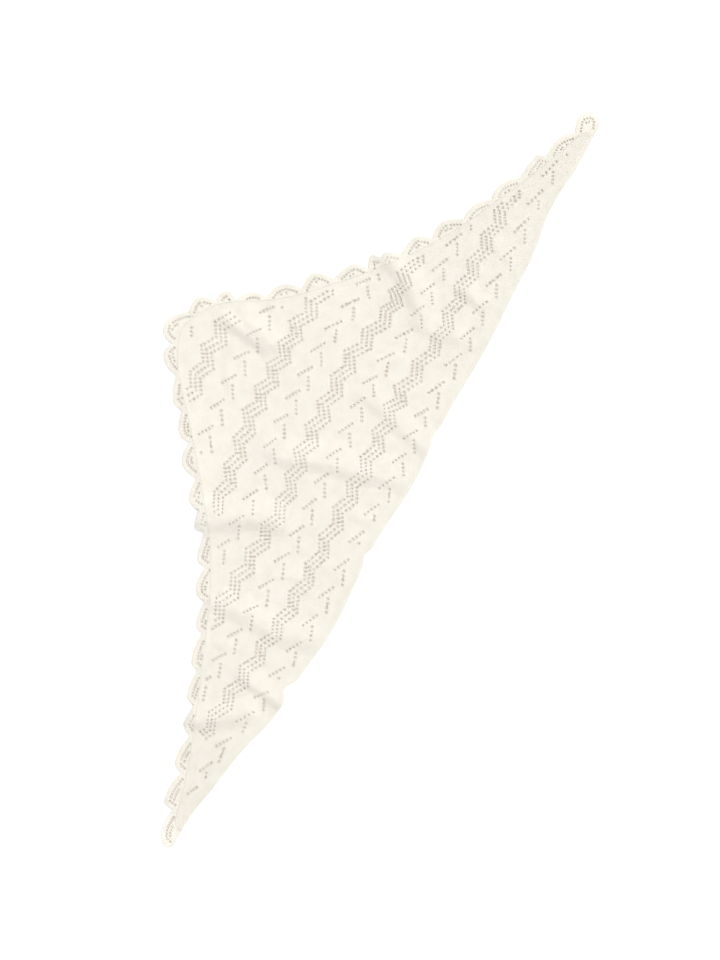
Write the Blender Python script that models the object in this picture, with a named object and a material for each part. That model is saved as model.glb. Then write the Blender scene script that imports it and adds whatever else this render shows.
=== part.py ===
"""Triangle shawl in lace knit, laid flat, with a scalloped edging along its two legs.

The long edge runs along X, the corner points to +Y, and the cloth rests on z = 0.
Sizes are in millimetres until the meshes are made.
"""

from collections import namedtuple

import bmesh
import bpy
import numpy as np

MM = 0.001

# Cloth
WALL = 1.8
SEAM_GAP = 0.3
HEADING_RISE = 1.2
HEADING_WIDTH = 9.0
ROLL_RISE = 1.2
ROLL_WIDTH = 8.0

# Mesh fineness
PANEL_STATIONS = 130
PANEL_ROWS = (0.0, 0.03, 0.08, 0.16, 0.24, 0.32, 0.40, 0.48, 0.56, 0.64, 0.72, 0.80, 0.88, 0.95, 1.0)
SCALLOP_STATIONS = 8
TIP_STATIONS = 8
CURVE_SAMPLES = 2400
CREST_SAMPLES = 60

# The line where the edging joins the panel, x and y, from the left tip over the corner
SEAM_LINE = [
    (-716, -8), (-715, 1), (-707, 10), (-690, 16), (-655, 26), (-567, 58), (-460, 103),
    (-354, 150), (-248, 210), (-168, 276), (-86, 348), (-8, 417), (28, 437), (52, 442),
    (76, 436), (116, 412), (168, 340), (246, 259), (327, 191), (416, 131), (514, 83),
    (602, 46), (682, 17), (700, 11), (712, 2), (713, -12),
]
TIP_SIDE = 9.0

# The long edge, x and y, and the nicks where a fold draws it in
LONG_EDGE = [
    (-716, -8), (-673, -10), (-630, -17), (-530, -31), (-460, -47), (-390, -49), (-290, -58),
    (-190, -52), (-90, -45), (20, -50), (120, -41), (300, -39), (420, -31), (480, -27), (560, -13),
    (650, -15), (713, -12),
]
Nick = namedtuple("Nick", "at depth half_width")
NICKS = [
    Nick(at=-405, depth=11, half_width=24),
    Nick(at=-131, depth=6, half_width=22),
    Nick(at=112, depth=4, half_width=24),
]

# Scallops from the left tip to the right one: length along the seam, how far the dip after
# each stands out, how far its crest reaches, at which share of the length the crest lies, and
# how full the arch is before and after the crest, where 2 is a parabola and less is pointed
Scallop = namedtuple("Scallop", "length dip crest at before after")
SCALLOPS = [
    Scallop(68, 10, 28.0, 0.25, 4.0, 2.0), Scallop(68, 7, 24.0, 0.33, 3.0, 1.4),
    Scallop(55, 5, 20.0, 0.38, 1.6, 1.1), Scallop(62, 9, 21.0, 0.27, 2.2, 1.6),
    Scallop(66, 8, 20.3, 0.25, 2.6, 1.8), Scallop(57, 9, 20.0, 0.33, 3.0, 1.6),
    Scallop(61, 11, 25.6, 0.46, 3.5, 1.5), Scallop(65, 8, 25.0, 0.27, 2.2, 1.2),
    Scallop(40, 11, 22.5, 0.38, 3.2, 1.1), Scallop(55, 8, 25.6, 0.45, 2.8, 1.3),
    Scallop(65, 8, 26.8, 0.49, 1.9, 1.8), Scallop(58, 9, 21.6, 0.42, 2.8, 1.5),
    Scallop(63, 6, 19.5, 0.36, 2.4, 1.2), Scallop(54, 13, 25.0, 0.68, 1.9, 1.8),
    Scallop(57, 14, 33.0, 0.43, 2.4, 1.1), Scallop(47, 9, 25.8, 0.48, 1.7, 1.4),
    Scallop(35, 3, 21.6, 0.60, 2.2, 2.0), Scallop(55, 6, 16.7, 0.55, 1.9, 2.2),
    Scallop(65, 10, 24.6, 0.54, 2.4, 1.9), Scallop(59, 9, 30.0, 0.47, 1.6, 1.6),
    Scallop(65, 5, 22.7, 0.63, 1.7, 1.6), Scallop(27, 16, 26.5, 0.50, 2.1, 2.2),
    Scallop(38, 7, 21.0, 0.28, 2.0, 1.1), Scallop(61, 8, 25.3, 0.59, 1.7, 1.4),
    Scallop(66, 8, 24.6, 0.50, 2.2, 1.4), Scallop(62, 8, 17.1, 0.47, 2.2, 1.7),
    Scallop(64, 9, 19.7, 0.42, 2.0, 1.6), Scallop(59, 9, 22.2, 0.74, 1.4, 1.8),
    Scallop(65, 8, 20.2, 0.50, 1.8, 1.8),
]
CORNER_SCALLOP = 14

# The scallop round each tip: reach at shares of the way from the long edge to the first dip
TIP_LENGTH = 39.0
TIP_SHARES = (0.0, 0.12, 0.25, 0.4, 0.6, 0.8, 1.0)
LEFT_TIP_REACH = (32, 42, 36, 26, 18, 13, 10)
RIGHT_TIP_REACH = (16, 25, 33, 38, 31, 17, 9)

# Folds: height, width of the slope on each side of the crest, and the crest's x and y,
# listed from the long edge upward
Fold = namedtuple("Fold", "height left right crest")
FOLDS = [
    Fold(12, 28, 40, [(-452, -26), (-464, -12), (-492, 18), (-514, 44), (-535, 74), (-552, 96)]),
    Fold(7, 18, 34, [(-432, -90), (-432, -60), (-430, -10), (-427, 30), (-424, 66)]),
    Fold(7, 28, 44, [(-298, -80), (-315, -18), (-329, 35), (-329, 97), (-338, 150), (-350, 190)]),
    Fold(13, 32, 50, [(-154, 80), (-158, 112), (-172, 162), (-196, 200), (-224, 236), (-256, 268)]),
    Fold(8, 26, 48, [(24, -70), (7, 0), (-12, 50), (-25, 106), (-48, 156), (-57, 195), (-60, 246)]),
    Fold(8, 20, 34, [(90, 274), (100, 310), (102, 340), (104, 375), (105, 410)]),
    Fold(5, 18, 34, [(102, 262), (114, 300), (124, 340), (134, 372), (146, 400)]),
    Fold(5, 22, 38, [(80, -80), (88, -36), (98, 18), (110, 80), (115, 140)]),
    Fold(6, 24, 42, [(300, -6), (280, 30), (274, 70), (272, 116)]),
    Fold(9, 26, 46, [(282, 70), (290, 88), (315, 126), (333, 160), (345, 200), (362, 240)]),
    Fold(5, 18, 30, [(352, -6), (360, 30), (366, 66)]),
    Fold(5, 34, 26, [(700, 14), (640, 44), (560, 78), (500, 104), (440, 132)]),
]
FOLD_FADE = 0.22

YARN_COLOUR = (0.86, 0.83, 0.75, 1.0)
YARN_ROUGHNESS = 0.9


def smooth_curve(points, samples):
    """A natural cubic spline through the points, read at even steps."""
    points = np.array(points, float)
    knots = np.r_[0.0, np.cumsum(np.hypot(*np.diff(points, axis=0).T))]
    steps = np.diff(knots)
    count = len(knots)
    system = np.eye(count)
    bends = np.zeros((count, 2))
    for i in range(1, count - 1):
        system[i, i - 1] = steps[i - 1]
        system[i, i] = 2.0 * (steps[i - 1] + steps[i])
        system[i, i + 1] = steps[i]
        slope_after = (points[i + 1] - points[i]) / steps[i]
        slope_before = (points[i] - points[i - 1]) / steps[i - 1]
        bends[i] = 6.0 * (slope_after - slope_before)
    bends = np.linalg.solve(system, bends)
    where = np.linspace(0.0, knots[-1], samples)
    span = np.clip(np.searchsorted(knots, where) - 1, 0, count - 2)
    step = steps[span][:, None]
    a = (knots[span + 1] - where)[:, None] / step
    b = 1.0 - a
    line = a * points[span] + b * points[span + 1]
    curl = (a ** 3 - a) * bends[span] + (b ** 3 - b) * bends[span + 1]
    return line + curl * step ** 2 / 6.0


def distances(points):
    """Distance along a row of points."""
    return np.r_[0.0, np.cumsum(np.hypot(*np.diff(points, axis=0).T))]


def bell(distance, width):
    """A soft hump of height 1 that ends at the given width."""
    return 0.5 * (1.0 + np.cos(np.pi * np.clip(np.abs(distance) / width, 0.0, 1.0)))


class Rail:
    """A curve that is read by the distance along it, with its outward direction."""

    def __init__(self, points):
        self.points = points
        self.along = distances(points)
        self.length = self.along[-1]
        tangents = np.gradient(points, axis=0)
        tangents /= np.hypot(*tangents.T)[:, None]
        self.normals = np.c_[-tangents[:, 1], tangents[:, 0]]

    def read(self, table, where):
        """Values of a table of pairs at distances along the curve."""
        first = np.interp(where, self.along, table[:, 0])
        second = np.interp(where, self.along, table[:, 1])
        return np.c_[first, second]

    def at(self, where, outward=0.0):
        """Points at distances along the curve, moved outward."""
        normals = self.read(self.normals, where)
        normals /= np.hypot(*normals.T)[:, None]
        return self.read(self.points, where) + normals * np.reshape(outward, (-1, 1))


def seam_rail():
    return Rail(smooth_curve(SEAM_LINE, CURVE_SAMPLES))


def long_edge_rail():
    edge = smooth_curve(LONG_EDGE, CURVE_SAMPLES)
    for nick in NICKS:
        edge[:, 1] += nick.depth * bell(edge[:, 0] - nick.at, nick.half_width)
    return Rail(edge)


def fold_lift(points, fold):
    """How far one fold raises each point off the table."""
    crest = smooth_curve(fold.crest, CREST_SAMPLES)
    apart = points[:, None, :] - crest[None, :, :]
    nearest = np.argmin((apart ** 2).sum(axis=2), axis=1)
    away = points - crest[nearest]
    heading = np.gradient(crest, axis=0)[nearest]
    on_right = heading[:, 1] * away[:, 0] - heading[:, 0] * away[:, 1] > 0.0
    width = np.where(on_right, fold.right, fold.left)
    share = nearest / (CREST_SAMPLES - 1)
    fade = np.clip(np.minimum(share, 1.0 - share) / FOLD_FADE, 0.0, 1.0)
    return fold.height * bell(np.hypot(*away.T), width) * fade ** 2 * (3.0 - 2.0 * fade)


def lift(points):
    """Height of the cloth's underside above the table, zero where it rests."""
    return sum(fold_lift(points, fold) for fold in FOLDS)


def scallop_reach(scallop, dip_before, share):
    """Reach of a scallop beyond the seam: an arch that stands on the line between its dips."""
    dip = dip_before + (scallop.dip - dip_before) * share
    before = np.clip(1.0 - share / scallop.at, 0.0, 1.0) ** scallop.before
    after = np.clip((share - scallop.at) / (1.0 - scallop.at), 0.0, 1.0) ** scallop.after
    return dip + (scallop.crest - dip) * (1.0 - before - after)


def edging_outline(seam):
    """Distances along the seam, reaches, and the station where the corner scallop ends."""
    share = np.linspace(0.0, 1.0, TIP_STATIONS + 1)
    where = [share * TIP_LENGTH]
    reach = [np.interp(share, TIP_SHARES, LEFT_TIP_REACH)]
    start = TIP_LENGTH
    dip = LEFT_TIP_REACH[-1]
    split = 0
    for number, scallop in enumerate(SCALLOPS):
        turn = np.linspace(0.0, np.pi, SCALLOP_STATIONS + 1)[1:]
        along_scallop = 0.5 - 0.5 * np.cos(turn)
        where.append(start + along_scallop * scallop.length)
        reach.append(scallop_reach(scallop, dip, along_scallop))
        start += scallop.length
        dip = scallop.dip
        if number == CORNER_SCALLOP:
            split = sum(len(part) for part in where) - 1
    where.append(start + share[1:] * (seam.length - start))
    reach.append(np.interp(1.0 - share[1:], TIP_SHARES, RIGHT_TIP_REACH))
    return np.concatenate(where), np.concatenate(reach), split


def panel_grid(seam, edge):
    """Panel points by station and row, from the long edge to the seam, and their thickness."""
    share = np.linspace(0.0, 1.0, PANEL_STATIONS + 1)
    top = seam.at(TIP_SIDE + share * (seam.length - 2.0 * TIP_SIDE), -0.5 * SEAM_GAP)
    foot = edge.at(share * edge.length)
    foot[0, 0] += 0.5 * SEAM_GAP
    foot[-1, 0] -= 0.5 * SEAM_GAP
    rows = np.array(PANEL_ROWS)[None, :, None]
    grid = foot[:, None, :] * (1.0 - rows) + top[:, None, :] * rows
    from_edge = np.hypot(*np.moveaxis(grid - foot[:, None, :], 2, 0))
    thickness = WALL + ROLL_RISE * bell(from_edge - 0.4 * ROLL_WIDTH, ROLL_WIDTH)
    return grid, thickness


def edging_grid(seam, where, reach):
    """Edging points by station and row, from the seam outward, and their thickness."""
    heading = np.minimum(HEADING_WIDTH, 0.6 * reach)
    outward = np.stack([
        np.full(len(reach), 0.5 * SEAM_GAP),
        0.45 * heading,
        heading,
        0.5 * (heading + reach),
        reach,
    ], axis=1)
    rise = HEADING_RISE * np.array([0.3, 1.0, 0.0, 0.0, 0.0])
    grid = np.stack([seam.at(where, outward[:, row]) for row in range(outward.shape[1])], axis=1)
    thickness = np.broadcast_to(WALL + rise, outward.shape)
    return grid, thickness


def cloth_material(name):
    material = bpy.data.materials.new(name)
    material.use_nodes = True
    shader = material.node_tree.nodes["Principled BSDF"]
    shader.inputs["Base Color"].default_value = YARN_COLOUR
    shader.inputs["Roughness"].default_value = YARN_ROUGHNESS
    shader.inputs["Metallic"].default_value = 0.0
    return material


def cloth_body(name, grid, thickness, centre):
    """Turn a grid of plan points into one closed wall that follows the folds."""
    stations, rows = thickness.shape
    plan = grid.reshape(-1, 2)
    under = lift(plan)
    mesh = bmesh.new()
    wall = mesh.verts.layers.float.new("wall")
    verts = []
    for point, height, thick in zip(plan - centre, under, thickness.reshape(-1)):
        vert = mesh.verts.new((point[0] * MM, point[1] * MM, height * MM))
        vert[wall] = thick * MM
        verts.append(vert)
    for i in range(stations - 1):
        for j in range(rows - 1):
            corner = i * rows + j
            ring = (corner, corner + 1, corner + rows + 1, corner + rows)
            mesh.faces.new([verts[k] for k in ring])
    raised = bmesh.ops.extrude_face_region(mesh, geom=mesh.faces[:])
    for item in raised["geom"]:
        if isinstance(item, bmesh.types.BMVert):
            item.co.z += item[wall]
    mesh.verts.layers.float.remove(wall)
    bmesh.ops.triangulate(mesh, faces=mesh.faces[:])
    bmesh.ops.recalc_face_normals(mesh, faces=mesh.faces[:])
    data = bpy.data.meshes.new(name)
    mesh.to_mesh(data)
    mesh.free()
    data.shade_smooth()
    data.set_sharp_from_angle(angle=np.radians(50.0))
    data.materials.append(cloth_material(name + "_yarn"))
    body = bpy.data.objects.new(name, data)
    bpy.context.scene.collection.objects.link(body)
    return body


def clear_scene():
    for old in list(bpy.data.objects):
        bpy.data.objects.remove(old, do_unlink=True)


def main():
    clear_scene()
    seam = seam_rail()
    edge = long_edge_rail()
    where, reach, split = edging_outline(seam)
    outline = np.vstack([seam.at(where, reach), edge.points])
    centre = 0.5 * (outline.min(axis=0) + outline.max(axis=0))

    grid, thickness = panel_grid(seam, edge)
    cloth_body("lace_panel", grid, thickness, centre)

    left_where = where[:split + 1].copy()
    left_where[-1] -= 0.5 * SEAM_GAP
    grid, thickness = edging_grid(seam, left_where, reach[:split + 1])
    cloth_body("scallop_edging_left", grid, thickness, centre)

    right_where = where[split:].copy()
    right_where[0] += 0.5 * SEAM_GAP
    grid, thickness = edging_grid(seam, right_where, reach[split:])
    cloth_body("scallop_edging_right", grid, thickness, centre)


main()
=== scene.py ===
# %% [markdown]
# # A lace-knit triangle shawl, laid flat
# The shawl is one knitted triangle with a scalloped lace edging along its two short legs. It lies
# on a table and is seen from straight above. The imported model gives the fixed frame: three plain
# walls of the right size and folds. This script lays a finer knitted skin over each of them, with
# the real eyelets, and gives the yarn its finish.

# %% Load the fixed frame
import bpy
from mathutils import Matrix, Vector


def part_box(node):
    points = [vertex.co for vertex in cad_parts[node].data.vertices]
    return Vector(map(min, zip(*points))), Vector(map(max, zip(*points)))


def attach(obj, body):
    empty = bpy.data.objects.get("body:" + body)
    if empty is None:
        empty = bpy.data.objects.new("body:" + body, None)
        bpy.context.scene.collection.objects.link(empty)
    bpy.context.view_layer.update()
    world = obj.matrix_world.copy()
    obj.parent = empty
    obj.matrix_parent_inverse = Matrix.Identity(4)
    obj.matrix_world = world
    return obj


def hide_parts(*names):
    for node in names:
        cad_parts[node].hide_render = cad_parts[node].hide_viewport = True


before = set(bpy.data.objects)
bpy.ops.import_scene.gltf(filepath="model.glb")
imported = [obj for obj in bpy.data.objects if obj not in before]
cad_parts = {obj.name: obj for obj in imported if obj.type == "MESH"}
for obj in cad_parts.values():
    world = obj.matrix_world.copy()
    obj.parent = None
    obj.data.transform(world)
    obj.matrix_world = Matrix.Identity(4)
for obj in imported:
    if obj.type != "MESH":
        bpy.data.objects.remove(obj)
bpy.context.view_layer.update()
print("pieces in the frame:", sorted(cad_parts))

# %% Modules
from collections import namedtuple

import bpy
import numpy as np
from mathutils import Vector, kdtree, noise
from mathutils.geometry import delaunay_2d_cdt

# %% [markdown]
# ## The outline
# A knitter would draw this shawl as a long edge, and a seam line where the edging joins the
# panel. Both are drawn here as a few points with a smooth curve through them. A curve object
# could do that too, but points in a numpy row can be read at any distance along the curve, which
# the scallops need. Sizes are in millimetres until a mesh is made.

# %% Lines of the outline
MM = 0.001
SEAM_GAP = 0.3  # between the solids of the panel and the edging
SKIN_GAP = 0.06  # between their knitted skins

SEAM_LINE = [
    (-716, -8), (-715, 1), (-707, 10), (-690, 16), (-655, 26), (-567, 58), (-460, 103),
    (-354, 150), (-248, 210), (-168, 276), (-86, 348), (-8, 417), (28, 437), (52, 442),
    (76, 436), (116, 412), (168, 340), (246, 259), (327, 191), (416, 131), (514, 83),
    (602, 46), (682, 17), (700, 11), (712, 2), (713, -12),
]
LONG_EDGE = [
    (-716, -8), (-673, -10), (-630, -17), (-530, -31), (-460, -47), (-390, -49), (-290, -58),
    (-190, -52), (-90, -45), (20, -50), (120, -41), (300, -39), (420, -31), (480, -27), (560, -13),
    (650, -15), (713, -12),
]
Nick = namedtuple("Nick", "at depth half_width")
NICKS = [
    Nick(at=-405, depth=11, half_width=24),
    Nick(at=-131, depth=6, half_width=22),
    Nick(at=112, depth=4, half_width=24),
]


# %% Curves that are read by distance
CURVE_SAMPLES = 2400


def smooth_curve(points, samples):
    """A natural cubic spline through the points, read at even steps."""
    points = np.array(points, float)
    knots = np.r_[0.0, np.cumsum(np.hypot(*np.diff(points, axis=0).T))]
    steps = np.diff(knots)
    count = len(knots)
    system = np.eye(count)
    bends = np.zeros((count, 2))
    for i in range(1, count - 1):
        system[i, i - 1] = steps[i - 1]
        system[i, i] = 2.0 * (steps[i - 1] + steps[i])
        system[i, i + 1] = steps[i]
        slope_after = (points[i + 1] - points[i]) / steps[i]
        slope_before = (points[i] - points[i - 1]) / steps[i - 1]
        bends[i] = 6.0 * (slope_after - slope_before)
    bends = np.linalg.solve(system, bends)
    where = np.linspace(0.0, knots[-1], samples)
    span = np.clip(np.searchsorted(knots, where) - 1, 0, count - 2)
    step = steps[span][:, None]
    a = (knots[span + 1] - where)[:, None] / step
    b = 1.0 - a
    line = a * points[span] + b * points[span + 1]
    curl = (a ** 3 - a) * bends[span] + (b ** 3 - b) * bends[span + 1]
    return line + curl * step ** 2 / 6.0


def bell(distance, width):
    """A soft hump of height 1 that ends at the given width."""
    return 0.5 * (1.0 + np.cos(np.pi * np.clip(np.abs(distance) / width, 0.0, 1.0)))


class Rail:
    """A curve that is read by the distance along it, with its outward direction."""

    def __init__(self, points):
        self.points = points
        self.along = np.r_[0.0, np.cumsum(np.hypot(*np.diff(points, axis=0).T))]
        self.length = self.along[-1]
        tangents = np.gradient(points, axis=0)
        tangents /= np.hypot(*tangents.T)[:, None]
        self.normals = np.c_[-tangents[:, 1], tangents[:, 0]]

    def read(self, table, where):
        first = np.interp(where, self.along, table[:, 0])
        second = np.interp(where, self.along, table[:, 1])
        return np.c_[first, second]

    def at(self, where, outward=0.0):
        normals = self.read(self.normals, where)
        normals /= np.hypot(*normals.T)[:, None]
        return self.read(self.points, where) + normals * np.reshape(outward, (-1, 1))


seam = Rail(smooth_curve(SEAM_LINE, CURVE_SAMPLES))
edge_points = smooth_curve(LONG_EDGE, CURVE_SAMPLES)
for nick in NICKS:
    edge_points[:, 1] += nick.depth * bell(edge_points[:, 0] - nick.at, nick.half_width)
long_edge = Rail(edge_points)
print(f"seam {seam.length:.0f} mm, long edge {long_edge.length:.0f} mm")

# %% [markdown]
# The lines above are drawn from the knitter's own corner of the paper. The frame has its origin
# under the middle of the laid shawl, so the shift between the two is read from the panel's box.

# %% The shift from the drawing to the frame
panel_low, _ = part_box("lace_panel")
drawing_low = np.array([LONG_EDGE[0][0] + 0.5 * SEAM_GAP, long_edge.points[:, 1].min()])
CENTRE = drawing_low - np.array([panel_low.x, panel_low.y]) / MM
print("middle of the laid shawl in the drawing:", CENTRE.round(1))

# %% [markdown]
# ## The scallops
# Each scallop is an arch between two dips, and no two are alike because the edging was laid out
# by hand. A table holds what a knitter could measure on each: its length along the seam, how far
# the dip after it stands out, how far its crest reaches, at which share of the length the crest
# lies, and how full it is before and after the crest. There 2 is a parabola, less is pointed.

# %% Scallop table
Scallop = namedtuple("Scallop", "length dip crest at before after")
SCALLOPS = [
    Scallop(68, 10, 28.0, 0.25, 4.0, 2.0), Scallop(68, 7, 24.0, 0.33, 3.0, 1.4),
    Scallop(55, 5, 20.0, 0.38, 1.6, 1.1), Scallop(62, 9, 21.0, 0.27, 2.2, 1.6),
    Scallop(66, 8, 20.3, 0.25, 2.6, 1.8), Scallop(57, 9, 20.0, 0.33, 3.0, 1.6),
    Scallop(61, 11, 25.6, 0.46, 3.5, 1.5), Scallop(65, 8, 25.0, 0.27, 2.2, 1.2),
    Scallop(40, 11, 22.5, 0.38, 3.2, 1.1), Scallop(55, 8, 25.6, 0.45, 2.8, 1.3),
    Scallop(65, 8, 26.8, 0.49, 1.9, 1.8), Scallop(58, 9, 21.6, 0.42, 2.8, 1.5),
    Scallop(63, 6, 19.5, 0.36, 2.4, 1.2), Scallop(54, 13, 25.0, 0.68, 1.9, 1.8),
    Scallop(57, 14, 33.0, 0.43, 2.4, 1.1), Scallop(47, 9, 25.8, 0.48, 1.7, 1.4),
    Scallop(35, 3, 21.6, 0.60, 2.2, 2.0), Scallop(55, 6, 16.7, 0.55, 1.9, 2.2),
    Scallop(65, 10, 24.6, 0.54, 2.4, 1.9), Scallop(59, 9, 30.0, 0.47, 1.6, 1.6),
    Scallop(65, 5, 22.7, 0.63, 1.7, 1.6), Scallop(27, 16, 26.5, 0.50, 2.1, 2.2),
    Scallop(38, 7, 21.0, 0.28, 2.0, 1.1), Scallop(61, 8, 25.3, 0.59, 1.7, 1.4),
    Scallop(66, 8, 24.6, 0.50, 2.2, 1.4), Scallop(62, 8, 17.1, 0.47, 2.2, 1.7),
    Scallop(64, 9, 19.7, 0.42, 2.0, 1.6), Scallop(59, 9, 22.2, 0.74, 1.4, 1.8),
    Scallop(65, 8, 20.2, 0.50, 1.8, 1.8),
]
CORNER_SCALLOP = 14
TIP_LENGTH = 39.0
TIP_SHARES = (0.0, 0.12, 0.25, 0.4, 0.6, 0.8, 1.0)
LEFT_TIP_REACH = (32, 42, 36, 26, 18, 13, 10)
RIGHT_TIP_REACH = (16, 25, 33, 38, 31, 17, 9)
TIP_BLUR = 0.06
TIP_BLUR_READS = 9
SCALLOP_STATIONS = 40
TIP_STATIONS = 30


# %% Reach of the edging along the seam
def scallop_reach(scallop, dip_before, share):
    """Reach beyond the seam: an arch that stands on the line between its dips."""
    dip = dip_before + (scallop.dip - dip_before) * share
    before = np.clip(1.0 - share / scallop.at, 0.0, 1.0) ** scallop.before
    after = np.clip((share - scallop.at) / (1.0 - scallop.at), 0.0, 1.0) ** scallop.after
    return dip + (scallop.crest - dip) * (1.0 - before - after)


def tip_reach(share, reaches):
    """The scallop that wraps a tip, rounded between its measured shares."""
    spread = np.linspace(-TIP_BLUR, TIP_BLUR, TIP_BLUR_READS)
    return np.mean([np.interp(share + shift, TIP_SHARES, reaches) for shift in spread], axis=0)


tip_share = np.linspace(0.0, 1.0, TIP_STATIONS + 1)
where = [tip_share * TIP_LENGTH]
reach = [tip_reach(tip_share, LEFT_TIP_REACH)]
dips = [TIP_LENGTH]
dip = LEFT_TIP_REACH[-1]
for number, scallop in enumerate(SCALLOPS):
    turn = np.linspace(0.0, np.pi, SCALLOP_STATIONS + 1)[1:]
    share = 0.5 - 0.5 * np.cos(turn)
    where.append(dips[-1] + share * scallop.length)
    reach.append(scallop_reach(scallop, dip, share))
    dips.append(dips[-1] + scallop.length)
    dip = scallop.dip
where.append(dips[-1] + tip_share[1:] * (seam.length - dips[-1]))
reach.append(tip_reach(1.0 - tip_share[1:], RIGHT_TIP_REACH))
where = np.concatenate(where)
reach = np.concatenate(reach)
SPLIT = dips[CORNER_SCALLOP + 1]
print(f"{len(SCALLOPS)} scallops and 2 tips, the edging is split {SPLIT:.0f} mm along the seam")

# %% [markdown]
# ## The folds
# The cloth was dropped and smoothed, so a few soft ridges cross it. A cloth simulation would
# place them where it likes. Here each ridge has a drawn crest line and a width on both
# sides, so it stays where the real one is. The first table is the frame's own. The second holds
# the small creases between them, too low for the solid.

# %% Fold tables
Fold = namedtuple("Fold", "height left right crest")
FOLDS = [
    Fold(12, 28, 40, [(-452, -26), (-464, -12), (-492, 18), (-514, 44), (-535, 74), (-552, 96)]),
    Fold(7, 18, 34, [(-432, -90), (-432, -60), (-430, -10), (-427, 30), (-424, 66)]),
    Fold(7, 28, 44, [(-298, -80), (-315, -18), (-329, 35), (-329, 97), (-338, 150), (-350, 190)]),
    Fold(13, 32, 50, [(-154, 80), (-158, 112), (-172, 162), (-196, 200), (-224, 236), (-256, 268)]),
    Fold(8, 26, 48, [(24, -70), (7, 0), (-12, 50), (-25, 106), (-48, 156), (-57, 195), (-60, 246)]),
    Fold(8, 20, 34, [(90, 274), (100, 310), (102, 340), (104, 375), (105, 410)]),
    Fold(5, 18, 34, [(102, 262), (114, 300), (124, 340), (134, 372), (146, 400)]),
    Fold(5, 22, 38, [(80, -80), (88, -36), (98, 18), (110, 80), (115, 140)]),
    Fold(6, 24, 42, [(300, -6), (280, 30), (274, 70), (272, 116)]),
    Fold(9, 26, 46, [(282, 70), (290, 88), (315, 126), (333, 160), (345, 200), (362, 240)]),
    Fold(5, 18, 30, [(352, -6), (360, 30), (366, 66)]),
    Fold(5, 34, 26, [(700, 14), (640, 44), (560, 78), (500, 104), (440, 132)]),
]
CREASES = [
    Fold(1.6, 12, 22, [(-372, 40), (-392, 80), (-400, 120)]),
    Fold(1.8, 12, 24, [(-222, 30), (-232, 60), (-250, 96)]),
    Fold(1.5, 14, 20, [(-70, -30), (-82, 10), (-96, 44)]),
    Fold(1.6, 14, 26, [(170, 130), (190, 96), (214, 70)]),
    Fold(1.8, 12, 22, [(-10, 300), (14, 326), (44, 344)]),
    Fold(1.4, 12, 22, [(150, 230), (186, 214), (230, 206)]),
    Fold(1.5, 12, 24, [(440, -10), (452, 26), (470, 60)]),
]
CREST_SAMPLES = 60
FOLD_FADE = 0.22
SOFT_WAVE = 0.7
SOFT_WAVE_LENGTH = 55.0
SOFT_WAVE_LEVEL = 0.1


# %% Height of the cloth above the table
def fold_lift(points, fold):
    """How far one fold raises each point."""
    crest = smooth_curve(fold.crest, CREST_SAMPLES)
    apart = points[:, None, :] - crest[None, :, :]
    nearest = np.argmin((apart ** 2).sum(axis=2), axis=1)
    away = points - crest[nearest]
    heading = np.gradient(crest, axis=0)[nearest]
    on_right = heading[:, 1] * away[:, 0] - heading[:, 0] * away[:, 1] > 0.0
    width = np.where(on_right, fold.right, fold.left)
    share = nearest / (CREST_SAMPLES - 1)
    fade = np.clip(np.minimum(share, 1.0 - share) / FOLD_FADE, 0.0, 1.0)
    return fold.height * bell(np.hypot(*away.T), width) * fade ** 2 * (3.0 - 2.0 * fade)


def soft_wave(points):
    """The slight unevenness of cloth smoothed by hand, never below the table."""
    scaled = np.c_[points, np.zeros(len(points))] / SOFT_WAVE_LENGTH
    rise = np.array([noise.noise(Vector(place)) for place in scaled])
    return SOFT_WAVE * np.clip(rise + SOFT_WAVE_LEVEL, 0.0, None)


def cloth_lift(points):
    """Height of the wrong side above the table."""
    return sum(fold_lift(points, fold) for fold in FOLDS + CREASES) + soft_wave(points)


highest = max(fold.height for fold in FOLDS)
print(f"{len(FOLDS)} folds, the highest {highest} mm, and {len(CREASES)} creases")

# %% [markdown]
# ## The lace chart
# The panel is knitted sideways: its wales, the columns of stitches, run along the long edge. The
# lace repeats every 16 rows along the wales and every 32 wales across. Each repeat has three
# parallel zigzag lines of eyelets and one slanting Y. The cloth isn't laid dead square, so a
# table says where chosen repeats really lie: one line of peaks for each zigzag band, from the
# long edge upward, and below them a line near the long edge that has no zigzag of its own.

# %% Where the repeats lie
Peak = namedtuple("Peak", "repeat x y")
BANDS = [
    [Peak(-2, 666, -5), Peak(0, 547, -17), Peak(1, 487, -24), Peak(4, 321, -33),
     Peak(5, 272, -37), Peak(7, 151, -41), Peak(10, 21, -50), Peak(16, -319, -54),
     Peak(18, -429, -48), Peak(19, -464, -46), Peak(20, -533, -31), Peak(21, -590, -17)],
    [Peak(0, 511, 73), Peak(3, 360, 66), Peak(5, 261, 55), Peak(7, 153, 67), Peak(8, 115, 66),
     Peak(10, 15, 55), Peak(12, -87, 51), Peak(14, -198, 43), Peak(16, -310, 42),
     Peak(18, -412, 51), Peak(20, -510, 57)],
    [Peak(3, 328, 164), Peak(5, 260, 157), Peak(7, 162, 175), Peak(9, 61, 171),
     Peak(11, -34, 163), Peak(13, -126, 145), Peak(15, -228, 147), Peak(17, -330, 148)],
    [Peak(6, 207, 281), Peak(7, 158, 285), Peak(9, 73, 281), Peak(11, -19, 277),
     Peak(12, -69, 266), Peak(14, -170, 247)],
    [Peak(9, 90, 398), Peak(10, 41, 398), Peak(11, -8, 392)],
]
REACH = [(0.0, 0.0), (-1.0, 20.8), (2.0, 17.9), (5.2, 14.7), (8.4, 11.9)]
REPEAT_LENGTH = 51.0
ROWS = 16
WALES = 32
LOW_WALE = 3.1
HIGH_WALE = 3.45
FIRST_REPEAT, LAST_REPEAT = -4, 24
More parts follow.
